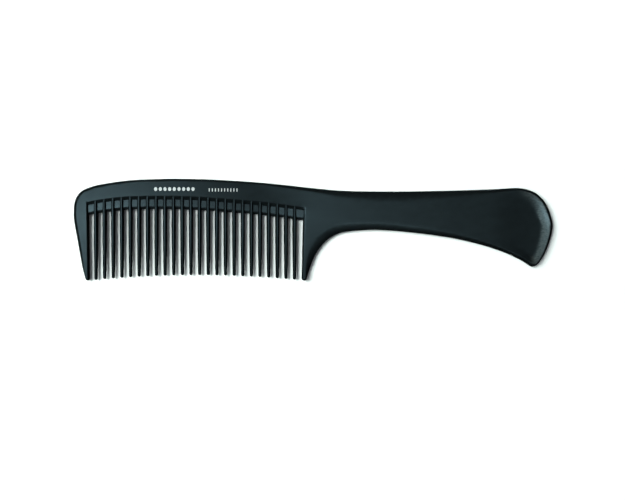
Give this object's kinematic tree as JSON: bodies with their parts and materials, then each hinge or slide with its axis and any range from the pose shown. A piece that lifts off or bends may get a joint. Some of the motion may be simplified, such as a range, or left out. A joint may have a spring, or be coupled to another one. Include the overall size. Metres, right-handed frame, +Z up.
{
  "type": "handle comb",
  "caption": "Flat one-piece styling comb: an arched back with one row of wide-set teeth between two end guards, a narrow neck and a broad dished paddle handle.",
  "frame": {"origin": "under the middle of the comb's box, on the face that it rests on", "axes": "+X towards the end of the handle, +Y towards the comb's back (the teeth point to -Y), +Z up from the resting face"},
  "size_m": [0.222, 0.0472, 0.005],
  "materials": {
    "comb_plastic": "satin black carbon-filled plastic with a fine moulded grain",
    "print_ink": "matt white printed ink"
  },
  "bodies": {
    "root": {"spine": "comb_plastic", "front_guard": "comb_plastic", "rear_guard": "comb_plastic", "neck": "comb_plastic", "handle": "comb_plastic", "tooth_01": "comb_plastic", "tooth_02": "comb_plastic", "tooth_03": "comb_plastic", "tooth_04": "comb_plastic", "tooth_05": "comb_plastic", "tooth_06": "comb_plastic", "tooth_07": "comb_plastic", "tooth_08": "comb_plastic", "tooth_09": "comb_plastic", "tooth_10": "comb_plastic", "tooth_11": "comb_plastic", "tooth_12": "comb_plastic", "tooth_13": "comb_plastic", "tooth_14": "comb_plastic", "tooth_15": "comb_plastic", "tooth_16": "comb_plastic", "tooth_17": "comb_plastic", "tooth_18": "comb_plastic", "tooth_19": "comb_plastic", "tooth_20": "comb_plastic", "tooth_21": "comb_plastic", "tooth_22": "comb_plastic", "tooth_23": "comb_plastic", "tooth_24": "comb_plastic"}
  },
  "joints": []
}
